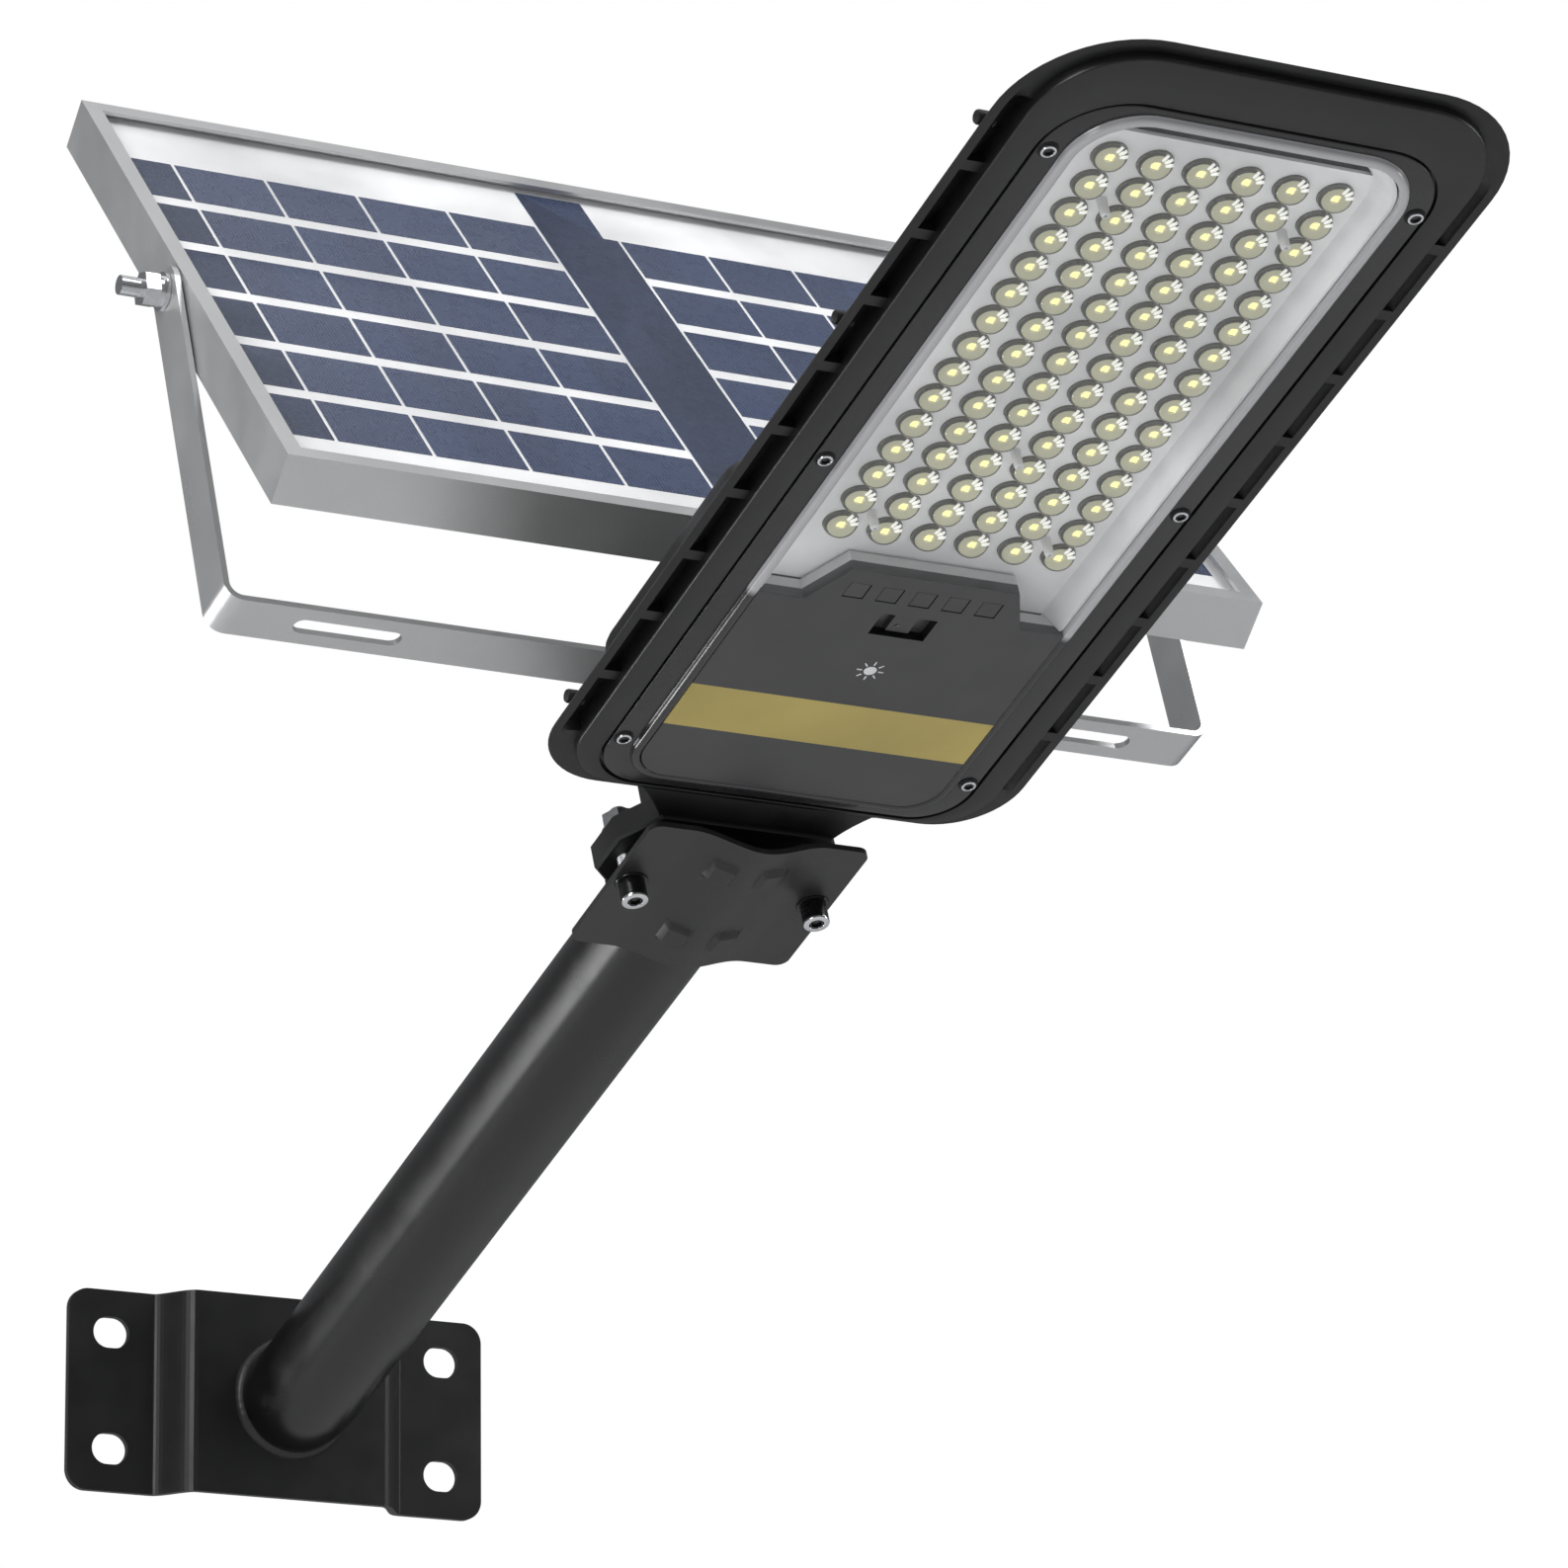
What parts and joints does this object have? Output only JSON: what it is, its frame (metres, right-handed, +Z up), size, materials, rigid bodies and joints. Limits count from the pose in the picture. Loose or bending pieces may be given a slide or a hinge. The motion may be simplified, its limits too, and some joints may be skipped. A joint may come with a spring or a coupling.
{
  "type": "solar street lamp",
  "caption": "Wall-mounted solar street lamp: slotted wall plate, bent tube arm, clamped diode lamp head and a tilting solar panel on a U-bracket.",
  "frame": {"origin": "centre of the wall plate's slot pattern, on the wall face", "axes": "+Z up, -Y out from the wall along the arm's plan direction, +X to the right for a viewer who faces the wall"},
  "size_m": [0.481, 0.8985, 0.5267],
  "materials": {
    "black_powder": "fine-textured black powder coat",
    "black_satin": "satin black coat",
    "grey_satin": "satin dark grey coat",
    "black_moulding": "black, fine spark-eroded grain",
    "bright_steel": "bright zinc plate",
    "bezel_black": "black, satin",
    "gasket_rubber": "black, matt",
    "cover_dark": "dark grey, satin gloss",
    "clear_cover": "clear, polished",
    "control_dark": "dark grey, satin",
    "gold_band": "mustard gold ink",
    "smoked_window": "smoked, satin",
    "button_dark": "dark grey, satin",
    "lens_clear": "clear, polished",
    "reflector_white": "pale grey, satin",
    "board_white": "pale grey solder mask",
    "diode_yellow": "phosphor yellow",
    "plain_aluminium": "mill finish",
    "holder_black": "black",
    "cell_sleeve": "blue sleeve",
    "board_green": "green solder mask",
    "component_black": "black",
    "gland_black": "black nylon",
    "bracket_aluminium": "satin",
    "frame_aluminium": "satin anodised",
    "panel_glass": "tempered, polished",
    "cell_blue": "blue polycrystalline silicon",
    "backsheet_white": "white film",
    "box_black": "black, moulded"
  },
  "bodies": {
    "arm": {"wall_plate": "black_powder", "arm_bend": "black_satin", "arm_tube": "black_satin", "weld_bead": "black_satin"},
    "head": {"clamp_front": "grey_satin", "neck_saddle": "black_moulding", "clamp_bolts": "bright_steel", "clamp_nuts": "bright_steel", "neck_screws": "bright_steel", "rear_housing": "black_moulding", "front_bezel": "bezel_black", "cover_gasket": "gasket_rubber", "cover_frame": "cover_dark", "lens_cover": "clear_cover", "control_cover": "control_dark", "gold_band": "gold_band", "indicator_windows": "smoked_window", "cover_screws": "bright_steel", "reflector_frame": "reflector_white", "led_board": "board_white", "led_chips": "diode_yellow", "led_lenses": "lens_clear", "lens_posts": "lens_clear", "heat_spreader": "plain_aluminium", "battery_holder": "holder_black", "battery_cells": "cell_sleeve", "controller_board": "board_green", "controller_parts": "component_black", "head_gland": "gland_black", "pan_bolt": "bright_steel"},
    "button": {"power_button": "button_dark", "status_lens": "lens_clear"},
    "bracket": {"u_bracket": "bracket_aluminium"},
    "panel": {"frame_top": "frame_aluminium", "frame_bottom": "frame_aluminium", "frame_left": "frame_aluminium", "frame_right": "frame_aluminium", "corner_keys": "plain_aluminium", "panel_glass": "panel_glass", "solar_cells": "cell_blue", "panel_backsheet": "backsheet_white", "junction_box": "box_black", "junction_lid": "box_black", "junction_gland": "gland_black", "pivot_bolts": "bright_steel", "pivot_washers": "bright_steel", "pivot_nuts": "bright_steel"}
  },
  "joints": [
    {"name": "lamp_roll", "type": "hinge", "parent": "arm", "child": "head", "pos_m": [0, -0.4332, 0.14639], "axis": [0, -0.9397, 0.342], "range_deg": [-30, 30]},
    {"name": "bracket_pan", "type": "hinge", "parent": "head", "child": "bracket", "pos_m": [0, -0.44343, 0.21183], "axis": [0, 0.342, 0.9397], "range_deg": [-60, 60]},
    {"name": "panel_tilt", "type": "hinge", "parent": "bracket", "child": "panel", "pos_m": [0, -0.38871, 0.36219], "axis": [-1, 0, 0], "range_deg": [-15, 45]},
    {"name": "button_press", "type": "slide", "parent": "head", "child": "button", "axis": [0, 0.342, 0.9397], "range_m": [0, 0.0012], "stiffness_N_per_m": 400, "springref_m": -0.0006}
  ]
}
